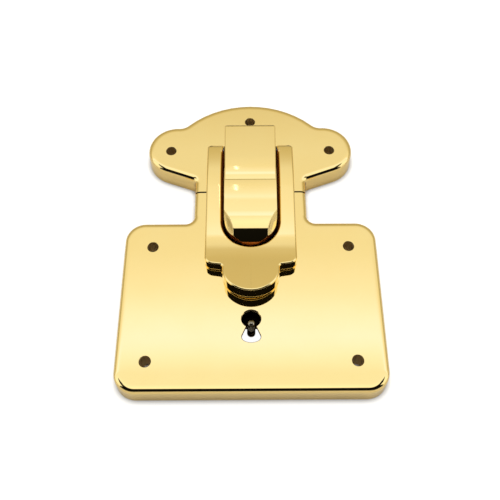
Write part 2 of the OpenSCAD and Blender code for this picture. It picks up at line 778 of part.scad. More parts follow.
module thumb_catch() {
    boss_w = strap_w - 2;
    color(gold)
        translate([0, split_y, 0])
            difference() {
                union() {
                    intersection() {
                        translate([0, 0, catch_bottom])
                            linear_extrude(2 * plate_h)
                                catch_plan(0);
                        along_x(strap_w)
                            catch_profile();
                    }
                    along_x(boss_w) {
                        translate([-catch_pin_y, catch_pin_z])
                            circle(r = catch_boss_r);
                        translate([-catch_pin_y - catch_boss_r, catch_pin_z])
                            square([2 * catch_boss_r, catch_bottom - catch_pin_z + skirt / 2]);
                    }
                    along_x(wedge_w)
                        polygon([[-wedge_y, catch_bottom + skirt / 2], [-wedge_y, wedge_bottom],
                            [wedge_foot - wedge_y, wedge_bottom],
                            [wedge_foot + wedge_rise - wedge_y, catch_bottom],
                            [wedge_foot + wedge_rise - wedge_y, catch_bottom + skirt / 2]]);
                }
                catch_facets();
                along_x(strap_w + 2 * cut)
                    translate([-catch_pin_y, catch_pin_z])
                        circle(d = catch_pin_d + 2 * pin_play);
            }
}

module catch_pin() {
    color(steel)
        translate([0, split_y, 0])
            along_x(2 * (bracket_x + bracket_t))
                translate([-catch_pin_y, catch_pin_z])
                    circle(d = catch_pin_d);
}

// Two ears standing on the lower back plate
module catch_bracket() {
    color(steel)
        translate([0, split_y, 0])
            for (side = [-1, 1])
                translate([side * (bracket_x + bracket_t / 2), 0, 0])
                    along_x(bracket_t)
                        difference() {
                            union() {
                                translate([-catch_pin_y, catch_pin_z])
                                    circle(r = catch_boss_r - 0.6);
                                translate([-catch_pin_y - catch_boss_r, back_top])
                                    square([2 * catch_boss_r - 0.4, catch_pin_z - back_top]);
                            }
                            translate([-catch_pin_y, catch_pin_z])
                                circle(d = catch_pin_d + 2 * seat_play);
                        }
}

module catch_springs() {
    color(steel)
        translate([0, split_y, 0])
            for (side = [-1, 1])
                translate([side * catch_spring_x, -catch_spring_y, back_top + spring_gap])
                    coil(catch_spring_len, catch_turns);
}

// Latch with a window whose slanted rear wall rides on the catch's wedge
module latch_slide() {
    ramp_top = wedge_y - wedge_foot - (latch_top - wedge_bottom) - play * sqrt(2);
    nose_w = latch_w - 4;
    nose_end = staple_back - play;
    nose_len = 4;
    color(steel)
        translate([0, split_y, 0])
            difference() {
                union() {
                    translate([-latch_w / 2, nose_len - nose_end, latch_bottom])
                        cube([latch_w, nose_end - nose_len - latch_tail, latch_t]);
                    translate([-nose_w / 2, latch_t / 2 - nose_end, latch_bottom])
                        cube([nose_w, nose_len, latch_t]);
                    along_x(nose_w)
                        translate([latch_t / 2 - nose_end, latch_bottom + latch_t / 2])
                            circle(d = latch_t);
                }
                along_x(wedge_w + 2 * play + 0.8)
                    polygon([[-latch_window, latch_bottom - cut], [-latch_window, latch_top + cut],
                        [cut - ramp_top, latch_top + cut],
                        [-ramp_top - latch_t - cut, latch_bottom - cut]]);
            }
}

// Bridge over the latch, standing on the lower back plate
module latch_guide() {
    leg = 1.8;
    bridge_t = 1;
    inner_w = latch_w + 2 * play;
    bridge_z = latch_top + play;
    bridge_len = 4;
    bridge_y = staple_back - 2.8;
    color(steel)
        translate([-inner_w / 2 - leg, split_y - bridge_y, back_top])
            difference() {
                cube([inner_w + 2 * leg, bridge_len, bridge_z + bridge_t - back_top]);
                translate([leg, -cut, -cut])
                    cube([inner_w, bridge_len + 2 * cut, bridge_z - back_top + cut]);
            }
}

module latch_stop() {
    stop_w = 6;
    color(steel)
        translate([-stop_w / 2, split_y - stop_y, back_top])
            cube([stop_w, stop_t, latch_top - back_top]);
}

module latch_spring() {
    color(steel)
        translate([0, split_y - stop_y - spring_gap, latch_spring_z])
            rotate([90, 0, 0])
                coil(latch_spring_len, latch_turns);
}

// Bolt with its finger drawn back beside the staple's eye
module bolt() {
    color(brass)
        translate([0, split_y, bolt_bottom])
            difference() {
                union() {
                    translate([bolt_left, -bolt_foot, 0])
                        cube([bolt_right - bolt_left, bolt_foot - bolt_head, bolt_t]);
                    translate([bolt_left, -bolt_head - cut, 0])
                        cube([bolt_arm_w, bolt_head - staple_y + finger_w / 2 + cut, bolt_t]);
                    translate([bolt_left, -staple_y - finger_w / 2, 0])
                        cube([finger_tip_x - bolt_left, finger_w, bolt_t]);
                }
                translate([-bolt_throw / 2 - talon_w / 2, -bolt_foot - cut, -cut])
                    cube([talon_w, talon_depth + cut, bolt_t + 2 * cut]);
                for (x = stud_x) {
                    drill([[x, -stud_y], [x - bolt_throw, -stud_y]], stud_slot_w, -cut, bolt_t + cut);
                    translate([x - bolt_throw, -stud_y - stud_slot_w / 2, -cut])
                        cube([bolt_throw, stud_slot_w, bolt_t + 2 * cut]);
                }
            }
}

// Headed studs riveted into the lower back plate
module bolt_studs() {
    head_z = bolt_top + play;
    color(steel)
        translate([0, split_y, 0])
            for (x = stud_x)
                translate([x, -stud_y, 0]) {
                    translate([0, 0, back_recess])
                        cylinder(d = stud_d, h = head_z + stud_head_t - back_recess);
                    translate([0, 0, head_z])
                        cylinder(d = stud_head_d, h = stud_head_t);
                }
}

// Bowed leaf whose crest lies along the bolt's upper edge
module bolt_spring() {
    color(steel)
        translate([leaf_x, split_y - leaf_low_y + leaf_r, bolt_bottom])
            linear_extrude(bolt_t)
                intersection() {
                    difference() {
                        circle(r = leaf_r, $fn = 96);
                        circle(r = leaf_r - leaf_t, $fn = 96);
                    }
                    translate([-leaf_span / 2, -leaf_r - cut])
                        square([leaf_span, leaf_sag + leaf_t + cut]);
                }
}

// Posts that the leaf's two ends lean on
module bolt_spring_posts() {
    post_y = leaf_low_y - leaf_sag - 2 * leaf_t - leaf_post_r;
    color(steel)
        translate([0, split_y, 0])
            for (side = [-1, 1])
                translate([leaf_x + side * (leaf_span / 2 - leaf_post_r), -post_y, back_top])
                    cylinder(r = leaf_post_r, h = bolt_top - back_top);
}

// Curved fence round the key post, on the lower back plate
module ward() {
    color(brass)
        translate([0, split_y - key_y, back_top])
            rotate([0, 0, 25])
                rotate_extrude(angle = 130)
                    translate([ward_r, 0])
                        square([ward_t, ward_h]);
}

// Turned post with a round head, riveted into the back plate's tongue
module key_post() {
    dome_r2 = post_d / 2;
    foot_h = back_top + 1;
    top = plate_h + post_proud;
    color(dark_steel)
        translate([0, split_y - key_y, 0])
            rotate_extrude()
                polygon(concat([[0, back_recess], [post_foot_d / 2, back_recess], [post_foot_d / 2, foot_h],
                    [dome_r2, top - 2 * dome_r2]],
                    [for (a = [0:15:90]) [dome_r2 * cos(a), top - dome_r2 + dome_r2 * sin(a)]]));
}

lower_plate();
lower_back_plate();
lower_back_screws();
upper_plate();
upper_back_plate();
upper_back_screws();
hinge_strap();
strap_rivets();
hinge_pin();
hinge_washers();
hasp();
hasp_staple();
staple_screws();
thumb_catch();
catch_pin();
catch_bracket();
catch_springs();
latch_slide();
latch_guide();
latch_stop();
latch_spring();
bolt();
bolt_studs();
bolt_spring();
bolt_spring_posts();
ward();
key_post();
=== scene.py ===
import json
import math

import bmesh
import bpy
from mathutils import Matrix, Vector

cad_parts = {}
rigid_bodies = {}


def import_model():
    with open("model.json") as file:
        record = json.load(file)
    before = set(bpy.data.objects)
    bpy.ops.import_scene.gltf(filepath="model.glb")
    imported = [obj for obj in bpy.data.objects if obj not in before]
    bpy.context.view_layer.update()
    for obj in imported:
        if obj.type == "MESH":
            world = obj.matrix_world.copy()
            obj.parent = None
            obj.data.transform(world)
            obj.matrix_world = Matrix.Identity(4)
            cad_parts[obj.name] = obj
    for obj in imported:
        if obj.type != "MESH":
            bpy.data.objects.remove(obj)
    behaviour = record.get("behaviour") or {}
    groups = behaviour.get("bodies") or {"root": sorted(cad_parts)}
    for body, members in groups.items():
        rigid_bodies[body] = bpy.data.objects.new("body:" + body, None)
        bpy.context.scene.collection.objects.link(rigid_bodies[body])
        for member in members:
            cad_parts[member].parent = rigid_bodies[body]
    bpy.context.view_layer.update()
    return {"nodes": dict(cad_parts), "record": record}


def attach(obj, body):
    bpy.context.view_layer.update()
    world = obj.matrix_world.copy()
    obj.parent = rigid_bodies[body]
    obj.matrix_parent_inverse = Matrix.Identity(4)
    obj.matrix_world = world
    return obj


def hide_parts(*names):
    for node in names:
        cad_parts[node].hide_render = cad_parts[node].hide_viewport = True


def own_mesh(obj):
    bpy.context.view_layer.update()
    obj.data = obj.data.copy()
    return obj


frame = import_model()
mm = 0.001

# Lower front plate: a shallow zinc die casting with a neck, polished and gold plated.
# It covers the works and is screwed to the chest's front board through its four corners;
# each hole runs in a cast sleeve that reaches back to the board.
split = 19.3  # the seam between the plates, from the lock's middle
half_seam = 0.35
plate_depth, plate_wall, plate_edge = 9.0, 1.4, 3.0
hole_r, sleeve_r = 2.2, 4.4
close = 0.01
weld = 0.002 * mm
crease = math.radians(35)


def clear():
    """Leaves edit mode and lets go of everything."""
    if bpy.context.object and bpy.context.object.mode != "OBJECT":
        bpy.ops.object.mode_set(mode="OBJECT")
    bpy.ops.object.select_all(action="DESELECT")


def hold(piece):
    """Makes one piece the selected and active one."""
    clear()
    piece.select_set(True)
    bpy.context.view_layer.objects.active = piece


def trace(name, start, runs, level=0.0, side=False):
    """Draws an outline in plan, or in side view, from a start point. A pair runs straight to a
    point; a triple turns round a centre by an angle, in steps of up to six degrees unless a
    fourth value says how many. Sizes are in mm from the plates' seam."""

    def spot(p):
        return Vector((level, p[0] + split, p[1]) if side else (p[0], p[1] + split, level)) * mm

    clear()
    bpy.ops.mesh.primitive_plane_add(size=mm)
    piece = bpy.context.object
    piece.name = piece.data.name = name
    bpy.ops.object.mode_set(mode="EDIT")
    bpy.ops.mesh.select_mode(type="VERT")
    bpy.ops.mesh.select_all(action="SELECT")
    bpy.ops.mesh.merge(type="CENTER")
    bpy.ops.transform.translate(value=spot(start))
    here = Vector(start)
    for run in runs:
        if len(run) == 2:
            step = spot(run) - spot(here)
            bpy.ops.mesh.extrude_vertices_move(TRANSFORM_OT_translate={"value": step})
            here = Vector(run)
        else:
            centre = Vector(run[:2])
            bpy.ops.mesh.spin(
                steps=run[3] if len(run) > 3 else max(4, round(abs(run[2]) / 6)),
                angle=math.radians(run[2]),
                center=spot(centre),
                axis=(-1, 0, 0) if side else (0, 0, -1),
            )
            here = centre + Matrix.Rotation(math.radians(run[2]), 2) @ (here - centre)
    bpy.ops.mesh.select_all(action="SELECT")
    return piece


def fill(both_halves=True):
    """Closes a traced outline into a face; a right half is first mirrored."""
    if both_halves:
        bpy.ops.mesh.duplicate()
        bpy.ops.transform.resize(value=(-1, 1, 1), center_override=(0, 0, 0))
        bpy.ops.mesh.select_all(action="SELECT")
    bpy.ops.mesh.remove_doubles(threshold=weld)
    bpy.ops.mesh.edge_face_add()


def raise_by(x=0.0, z=0.0):
    """Extrudes the selected faces by a distance in mm."""
    bpy.ops.mesh.extrude_region_move(TRANSFORM_OT_translate={"value": Vector((x, 0, z)) * mm})


def pick(kind, test, sharp=0.0):
    """Selects the edges or faces whose points all pass a test in mm; of edges, only those that
    turn by at least an angle."""
    bpy.ops.mesh.select_mode(type=kind)
    bpy.ops.mesh.select_all(action="DESELECT")
    shape = bmesh.from_edit_mesh(bpy.context.object.data)
    for part in shape.edges if kind == "EDGE" else shape.faces:
        places = [Vector((c.co.x / mm, c.co.y / mm - split, c.co.z / mm)) for c in part.verts]
        fits = all(test(p) for p in places)
        part.select_set(fits and (kind == "FACE" or part.calc_face_angle(0) >= sharp))
    shape.select_flush_mode()
    bmesh.update_edit_mesh(bpy.context.object.data)


def paint(piece, index, test):
    """Gives one of the piece's materials to the faces whose points all pass a test in mm."""
    hold(piece)
    bpy.ops.object.mode_set(mode="EDIT")
    pick("FACE", test)
    piece.active_material_index = index
    bpy.ops.object.material_slot_assign()
    bpy.ops.object.mode_set(mode="OBJECT")


def face_out():
    """Points every face outwards and leaves edit mode."""
    bpy.ops.mesh.select_mode(type="VERT")
    bpy.ops.mesh.select_all(action="SELECT")
    bpy.ops.mesh.normals_make_consistent(inside=False)
    bpy.ops.object.mode_set(mode="OBJECT")


def block(name, start, runs, low, height):
    """An upright block from the right half of its plan."""
    piece = trace(name, start, runs, low)
    fill()
    raise_by(z=height)
    face_out()
    return piece


def combine(piece, tool, how="DIFFERENCE"):
    """Cuts a tool out of a piece, joins it on, or keeps what both share."""
    hold(piece)
    change = piece.modifiers.new("combine", "BOOLEAN")
    change.object = tool
    change.operation = how
    change.solver = "EXACT"
    bpy.ops.object.modifier_apply(modifier=change.name)
    bpy.data.objects.remove(tool)


def sleeve(x, y):
    """A round bar for one mounting hole, from the back up into the front wall."""
    height = plate_depth - plate_wall / 2
    clear()
    bpy.ops.mesh.primitive_cylinder_add(
        vertices=48, radius=sleeve_r * mm, depth=height * mm,
        location=(x * mm, (y + split) * mm, height / 2 * mm),
    )
    bpy.context.object.name = "sleeve"
    bpy.ops.object.transform_apply(location=True, rotation=True, scale=True)
    return bpy.context.object


def turned(name, x, y, start, runs, sides=48):
    """A round piece from its side view, drawn as (radius, height) and turned about its axis."""

    def out(run):
        return (run[0] + y,) + tuple(run[1:])

    piece = trace(name, out(start), [out(run) for run in runs], x, side=True)
    centre = (x * mm, (y + split) * mm, 0)
    bpy.ops.mesh.spin(steps=sides, angle=math.tau, center=centre, axis=(0, 0, 1))
    bpy.ops.mesh.select_all(action="SELECT")
    bpy.ops.mesh.remove_doubles(threshold=weld)
    face_out()
    return piece


def screw_drill(x, y):
    """A drill for one mounting hole, with a rounded lip where it leaves the polished face."""
    lip = 0.15
    rim, top = plate_depth - lip, plate_depth + 1
    runs = [(hole_r, -1), (hole_r, rim), (hole_r + lip, rim, -90), (hole_r + lip, top), (0, top)]
    return turned("drill", x, y, (0, -1), runs)


def make_tray(name, start, half, seam_y, holes):
    """A plate as a tray: outline, depth, rounded front edge, hollow back, sleeves and holes.
    The edge along the seam stays sharp."""
    piece = trace(name, start, half)
    fill()
    raise_by(z=plate_depth)
    pick("EDGE", lambda p: p.z > plate_depth - close)
    shape = bmesh.from_edit_mesh(piece.data)
    for edge in shape.edges:
        if all(abs(v.co.y / mm - split - seam_y) < close for v in edge.verts):
            edge.select_set(False)
    bmesh.update_edit_mesh(piece.data)
    bpy.ops.mesh.bevel(
        offset=plate_edge * mm, segments=12, profile=0.63, affect="EDGES", clamp_overlap=False)
    pick("FACE", lambda p: p.z < close)
    bpy.ops.mesh.inset(thickness=plate_wall * mm)
    raise_by(z=plate_depth - plate_wall)
    piece.data.materials.append(polished_gold)
    piece.data.materials.append(raw_cast)
    piece.active_material_index = 1
    bpy.ops.mesh.select_more()
    bpy.ops.object.material_slot_assign()
    face_out()
    for x, y in holes:
        combine(piece, sleeve(x, y), "UNION")
    for x, y in holes:
        combine(piece, screw_drill(x, y))

    def in_bore(p):
        return p.z < plate_depth - 0.1 and any(math.dist(p.xy, hole) < hole_r + 0.1 for hole in holes)

    paint(piece, 1, in_bore)
    return piece


def finish_piece(piece, body, slot, *nodes):
    """Smooths a piece, keeps its flats flat in reflections, and hangs it on its body."""
    hold(piece)
    bpy.ops.object.shade_smooth_by_angle(angle=crease)
    even = piece.modifiers.new("even", "WEIGHTED_NORMAL")
    even.keep_sharp = True
    even.weight = 50
    bpy.ops.object.modifier_apply(modifier=even.name)
    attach(piece, body)
    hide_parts(*nodes)


def linear(code):
    """An sRGB hex colour as linear light."""
    parts = [int(code[i:i + 2], 16) / 255 for i in (1, 3, 5)]
    return tuple(c / 12.92 if c <= 0.04045 else ((c + 0.055) / 1.055) ** 2.4 for c in parts) + (1.0,)


def add(tree, kind, links=None, inputs=None, **settings):
    """One node with its settings, its own values and its links."""
    item = tree.nodes.new(kind)
    for key, value in settings.items():
        setattr(item, key, value)
    for key, value in (inputs or {}).items():
        item.inputs[key].default_value = value
    for key, source in (links or {}).items():
        tree.links.new(source, item.inputs[key])
    return item


def bare_tree(owner):
    """The emptied node tree of a new material or world."""
    owner.use_nodes = True
    owner.node_tree.nodes.clear()
    return owner.node_tree


def new_finish(name):
    """An empty material: itself, its tree and its Object coordinates."""
    finish = bpy.data.materials.new(name)
    tree = bare_tree(finish)
    return finish, tree, add(tree, "ShaderNodeTexCoord").outputs["Object"]


def patches(tree, place, size, detail=3.0):
    """Noise with patches of a size in mm."""
    values = {"Scale": 1 / (size * mm), "Detail": detail}
    return add(tree, "ShaderNodeTexNoise", {"Vector": place}, values).outputs["Fac"]


def two_tone(tree, pattern, first, second):
    """A colour that runs between two others with a pattern."""
    colours = {"A": linear(first), "B": linear(second)}
    return add(tree, "ShaderNodeMix", {"Factor": pattern}, colours, data_type="RGBA").outputs["Result"]


def between(tree, pattern, low, high):
    """A value that runs between two others with a pattern."""
    limits = {"To Min": low, "To Max": high}
    return add(tree, "ShaderNodeMapRange", {"Value": pattern}, limits).outputs["Result"]


def stretched(tree, place, scale):
    """Coordinates that draw a pattern out into lines."""
    return add(tree, "ShaderNodeMapping", {"Vector": place}, {"Scale": scale}).outputs["Vector"]


def coat(tree, links, values):
    """A material's surface, with what feeds it."""
    shader = add(tree, "ShaderNodeBsdfPrincipled", links, values)
    add(tree, "ShaderNodeOutputMaterial", {"Surface": shader.outputs["BSDF"]})


def dull_finish(name, size, first, second, metallic, rough):
    """A dull, mottled material with patches of a size in mm."""
    finish, tree, place = new_finish(name)
    tone = two_tone(tree, patches(tree, place, size), first, second)
    coat(tree, {"Base Color": tone}, {"Metallic": metallic, "Roughness": rough})
    return finish


# Polished gold plate over zinc: a mirror with the faint cloudiness of a buffing wheel.
# Clouds about 14 mm across shift the tone; buffing lines, drawn 0.5 mm apart so that they
# can show at all, barely roughen it.
polished_gold, tree, place = new_finish("polished_gold_plate")
lines = patches(tree, stretched(tree, place, (0.06, 1.0, 1.0)), 0.5, detail=2.0)
relief = add(tree, "ShaderNodeBump", {"Height": lines}, {"Strength": 0.012, "Distance": 0.05 * mm})
coat(
    tree,
    {"Base Color": two_tone(tree, patches(tree, place, 14), "#FFE093", "#FFE49C"),
     "Roughness": between(tree, lines, 0.02, 0.05), "Normal": relief.outputs["Normal"]},
    {"Metallic": 1.0},
)

# The bores and the hollow back are left as cast: dull and pale brown, without plating.
raw_cast = dull_finish("bare_casting", 0.6, "#CDB480", "#DCC592", 0.7, 0.5)

lower_end, half_width, corner_r = -86, 50.2, 8.0
neck_low, neck_half, neck_fillet = -14.7, 23, 3.5
lower_plate = make_tray(
    "lower_front_plate", (0, lower_end),
    [(half_width - corner_r, lower_end), (half_width - corner_r, lower_end + corner_r, 90),
     (half_width, neck_low - corner_r), (half_width - corner_r, neck_low - corner_r, 90),
     (neck_half + neck_fillet, neck_low), (neck_half + neck_fillet, neck_low + neck_fillet, -90),
     (neck_half, -half_seam), (0, -half_seam)],
    -half_seam, [(x, y) for x in (-38.8, 38.8) for y in (-74.4, -26.2)],
)

# The window that the thumb catch sinks into, and the slot for the hasp's staple
cut_low, cut_height = plate_depth - 2, 3
window = block("window", (0, -28.1), [(0, -17.0, 90), (11.1, -1.65), (0, -1.65)], cut_low, cut_height)
combine(lower_plate, window)
staple_slot = block(
    "staple_slot", (0, -45.1), [(1.55, -45.1), (1.55, -35.7), (0, -35.7)], cut_low, cut_height)
combine(lower_plate, staple_slot)

# The keyhole: a round part for the key's barrel over a bell-shaped foot for its bit. Its edge
# opens a little at the polished face, and its walls are bare.
keyhole = trace(
    "keyhole", (0, -67), [(0, -61.6, 28), (1.643, -64.69, 87), (1.95, -60.7), (0, -57.6, 147.8)], cut_low)
fill()
raise_by(z=1.75)
raise_by(z=0.3)
bpy.ops.transform.resize(value=(1.06, 1.04, 1), center_override=(0, (split - 60.4) * mm, 0))
raise_by(z=1)
face_out()
combine(lower_plate, keyhole)
paint(lower_plate, 1, lambda p: 7.55 < p.z < 8.97 and abs(p.x) < 4.5 and -68 < p.y < -53)
finish_piece(lower_plate, "case", "gold", "lower_plate")

# Upper front plate: the same casting and finish, with two round ears and a dome.
# It is screwed to the lid's edge through the ears and under the top of the dome. Small arcs
# blend the ears into the neck and into the dome.
ear, ear_r, ear_slope, dome, dome_r = Vector((31.5, 22.7)), 12.2, 21, Vector((0, 8.2)), 39.2
neck_blend, dome_blend = 2.2, 5.2
down = Vector((math.sin(math.radians(ear_slope)), -math.cos(math.radians(ear_slope))))
under = ear + ear_r * down
foot = Vector((neck_half + neck_blend, 0))
foot.y = under.y + (under.x - foot.x) * down.x / down.y + neck_blend / down.y
reach = (ear - dome).length
along = (ear - dome) / reach
near = ((dome_r + dome_blend) ** 2 - (ear_r + dome_blend) ** 2 + reach ** 2) / (2 * reach)
aside = math.sqrt((dome_r + dome_blend) ** 2 - near ** 2)
valley = dome + near * along + aside * Vector((-along.y, along.x))
ear_angle = math.degrees(math.atan2(valley.y - ear.y, valley.x - ear.x))
dome_angle = math.degrees(math.atan2(valley.y - dome.y, valley.x - dome.x))
upper_plate = make_tray(
    "upper_front_plate", (0, half_seam),
    [(neck_half, half_seam), (neck_half, foot.y), (foot.x, foot.y, ear_slope - 90), tuple(under),
     (ear.x, ear.y, ear_angle - ear_slope + 90), (valley.x, valley.y, dome_angle - ear_angle),
     (dome.x, dome.y, 90 - dome_angle)],
    half_seam, [(-33.9, 21.6), (33.9, 21.6), (0, 37.4)],
)
finish_piece(upper_plate, "case", "gold", "upper_plate")

# Hinge strap: a raised solid casting riveted on the upper plate from behind.
# Its top is nearly level, rounds over a little towards the seam with the thumb catch, and
# widens towards its upper end.


def slab(name, start, runs, half, steps=None):
    """A piece from its side view, with a half-width in mm; its width may be laid in steps."""
    piece = trace(name, start, runs, -half, side=True)
    fill(both_halves=False)
    for step in steps or (2 * half,):
        raise_by(x=step)
    face_out()
    return piece


def soften(piece, width, segments):
    """Rounds the sharp edges of a piece."""
    hold(piece)
    edge = piece.modifiers.new("edge", "BEVEL")
    edge.width = width * mm
    edge.segments = segments
    edge.limit_method = "ANGLE"
    edge.angle_limit = math.radians(40)
    edge.use_clamp_overlap = False
    bpy.ops.object.modifier_apply(modifier=edge.name)


strap = slab(
    "hinge_strap_casting", (0.1, plate_depth),
    [(0.1, 17.624), (6.929, -15.683, -6.69, 12), (11.2, -65.5, -4.9, 12), (27.0, 18.42),
     (27.0, 17.02, -87), (28.4, plate_depth)],
    12,
)
strap_plan = block("strap_plan", (0, 0), [(10.4, 0), (10.7, 27.2), (9.5, 27.2, 90), (0, 28.4)], 8, 12)
combine(strap, strap_plan, "INTERSECT")
soften(strap, 0.45, 3)
strap.data.materials.append(polished_gold)
finish_piece(strap, "case", "gold", "hinge_strap")

# Hasp: a U-shaped casting that swings on a pin through its two arms and the strap.
# Its arms are crowned, and its lower end sweeps up to a finger tip with a nail gap.
# The walls of its slot are left as cast, dull and brown.
hasp_low = 9.3
tip, tip_r, tip_half, tip_corner_r = Vector((0, -37.4)), 12.0, 11.0, 9.6
tip_corner = Vector((tip_half - tip_corner_r, 0))
tip_corner.y = tip.y - math.sqrt((tip_r - tip_corner_r) ** 2 - tip_corner.x ** 2)
tip_angle = math.degrees(math.atan2(tip_corner.y - tip.y, tip_corner.x))
slope = math.radians(8)
outer, shoulder_y, shoulder_r, hollow_r = 17.95, -36.3, 3.4, 1.4
hollow = Vector((tip_half + hollow_r, 0))
hollow.y = shoulder_y - (outer - hollow.x) * math.tan(slope) - hollow_r / math.cos(slope)
shoulder = Vector((outer - shoulder_r, 0))
shoulder.y = shoulder_y - shoulder_r * math.tan(slope) + shoulder_r / math.cos(slope)
shoulder_start = shoulder + shoulder_r * Vector((math.sin(slope), -math.cos(slope)))
arm_end, arm_corner_r = 21.55, 2.0
hasp = block(
    "hasp_casting", (0, tip.y - tip_r),
    [(tip.x, tip.y, tip_angle + 90), (tip_corner.x, tip_corner.y, -tip_angle), (tip_half, hollow.y),
     (hollow.x, hollow.y, -82), tuple(shoulder_start), (shoulder.x, shoulder.y, 82),
     (outer, arm_end - arm_corner_r), (outer - arm_corner_r, arm_end - arm_corner_r, 90), (0, arm_end)],
    hasp_low - 1, 12,
)

# Side view: nail gap, flat underside, barrel round the pin, crowned arms, sweep and ramp
pin_y = 19.2
hasp_side = slab(
    "hasp_side", (-51, hasp_low + 1.3),
    [(-46.2, hasp_low), (pin_y, hasp_low), (pin_y, 11.65, 174.5), (6.199, -123.376, 8.4, 16),
     (-23, 13.321), (-25.125, 55.267, -9.9, 9), (-16.838, 122.76, -2.6, 3), (-51, 16.975)],
    20, steps=(6.5, 13.5, 13.5, 6.5),
)
combine(hasp, hasp_side, "INTERSECT")

# The slot widens upwards, as it left the mould; it is upright between the hinge's eyes
slot_half, slot_y, slot_draft = 10.63, -17.05, 1.251
hasp_slot = trace(
    "hasp_slot", (0, slot_y - slot_half), [(0, slot_y, 90), (slot_half, 13.5), (0, 13.5)], 8.3)
fill()
raise_by(z=12)
bpy.ops.transform.resize(
    value=(slot_draft, slot_draft, 1), center_override=(0, (split + slot_y) * mm, 0))
face_out()
combine(hasp, hasp_slot)
hinge_slot = block(
    "hinge_slot", (0, 13), [(10.95, 13), (10.95, 16.6), (11.4, 16.6), (11.4, 24), (0, 24)], 8.2, 13)
combine(hasp, hinge_slot)


def in_slot(p):
    """Whether a point belongs to the slot or its rim."""
    return abs(p.x) < 13 and p.y > -29.5


for width, test in ((0.8, lambda p: not in_slot(p)), (0.5, in_slot)):
    hold(hasp)
    bpy.ops.object.mode_set(mode="EDIT")
    pick("EDGE", test, crease)
    bpy.ops.mesh.bevel(
        offset=width * mm, segments=5, profile=0.5, affect="EDGES", clamp_overlap=False, loop_slide=False)
    bpy.ops.object.mode_set(mode="OBJECT")
hasp.data.materials.append(polished_gold)
hasp.data.materials.append(dull_finish("bare_cast_slot", 0.8, "#A0561A", "#B86C26", 0.5, 0.5))
paint(hasp, 1, lambda p: p.y < 19 and math.dist((p.x, min(p.y, slot_y)), (0, slot_y)) < 12.02)
finish_piece(hasp, "hasp_body", "gold", "hasp")

# Thumb catch: a round-nosed casting that sinks into the lower plate when it is pressed.
# It turns on a pin under its rear edge, and a wedge under it draws the latch back. Its top has
# a faint hollow for the thumb, and slanted faces cut its corners beside the nose.
half_catch, catch_low = 10.5, 7.4
catch = slab(
    "thumb_catch_casting", (-2.25, catch_low),
    [(-2.25, 9.3), (-0.1, 9.3), (-0.1, 18.35), (-1.217, -13.63, 4.4, 8), (3.725, -131.526, 2.2, 10),
     (-14.32, 92.75, -1.3, 6), (-14.85, 17.595), (-11.281, -44.302, 2.2, 8), (-15.968, 4.373, 56.5, 32),
     (-27.53, catch_low)],
    half_catch,
)
nose_y = -16.4
catch_plan = block(
    "catch_plan", (0, nose_y - half_catch), [(0, nose_y, 90), (half_catch, 1), (0, 1)], 5, 16)
combine(catch, catch_plan, "INTERSECT")
slant, turn, cutter = math.radians(36.3), math.radians(32), 30
for way in (-1, 1):
    out = Vector((
        way * math.cos(slant) * math.cos(turn), -math.cos(slant) * math.sin(turn), math.sin(slant)))
    middle = Vector((way * half_catch, split - 14.0, 17.6)) + cutter / 2 * out
    clear()
    bpy.ops.mesh.primitive_cube_add(
        size=cutter * mm, location=middle * mm,
        rotation=(0, -slant, -turn if way > 0 else math.pi + turn))
    bpy.ops.object.transform_apply(location=True, rotation=True, scale=True)
    combine(catch, bpy.context.object)
soften(catch, 0.15, 2)
catch.data.materials.append(polished_gold)
finish_piece(catch, "catch_body", "gold", "thumb_catch")

# Key post: a turned steel pin with a domed head, riveted into the back plate.
# A barrel key slides over it; the turning leaves fine rings round it, 0.4 mm apart.
darkened_steel, tree, place = new_finish("turned_darkened_steel")
rings = add(tree, "ShaderNodeTexWave", {"Vector": place}, {"Scale": 1 / (6 * 0.4 * mm), "Distortion": 0.6},
            bands_direction="Z")
tone = two_tone(tree, rings.outputs["Fac"], "#8E8672", "#A89F8A")
coat(tree, {"Base Color": tone}, {"Metallic": 1.0, "Roughness": 0.16})

post_r, post_foot_r, post_low, post_neck = 1.5, 1.1, 0.4, 8.3
post = turned(
    "key_post_pin", 0, -59.4, (0, post_low),
    [(post_foot_r, post_low), (post_foot_r, 2.4), (post_r, 6.8), (post_r, post_neck), (0, post_neck, 90)], 40)
post.data.materials.append(darkened_steel)
finish_piece(post, "case", "dark_steel", "key_post")

# Works behind the plates: rolled brass sheets, bolt and ward, and zinc-plated steel
# for the latch, springs, pins and screws. They keep the shapes they were cut to. Painted shade
# darkens the brass inside the case; the sheets' backs keep their own colour.
rolled_brass, tree, place = new_finish("rolled_sheet_brass")
grain = patches(tree, stretched(tree, place, (1.0, 0.05, 1.0)), 0.8, detail=4.0)
height = add(tree, "ShaderNodeSeparateXYZ", {"Vector": place}).outputs["Z"]
inside = add(tree, "ShaderNodeMapRange", {"Value": height}, {"From Min": 0.4 * mm, "From Max": 1.2 * mm})
# Painted shade: from 0.4 mm up, the brass runs to near-black in place of the case's unlit inside
brass_in_painted_shade = add(
    tree, "ShaderNodeMix",
    {"Factor": inside.outputs["Result"], "A": two_tone(tree, grain, "#B08A45", "#D9B76C")},
    {"B": linear("#1C150C")}, data_type="RGBA")
coat(tree, {"Base Color": brass_in_painted_shade.outputs["Result"], "Roughness": between(tree, grain, 0.28, 0.45)},
     {"Metallic": 1.0})

zinc_steel, tree, place = new_finish("zinc_plated_steel")
spangle = add(tree, "ShaderNodeTexVoronoi", {"Vector": place}, {"Scale": 1 / (1.2 * mm)}).outputs["Distance"]
coat(tree, {"Base Color": two_tone(tree, spangle, "#A9AAA8", "#C9CACB"),
            "Roughness": between(tree, spangle, 0.25, 0.4)}, {"Metallic": 1.0})

black_oxide = dull_finish("black_oxide_steel", 0.7, "#0E0B09", "#181310", 0.0, 0.85)

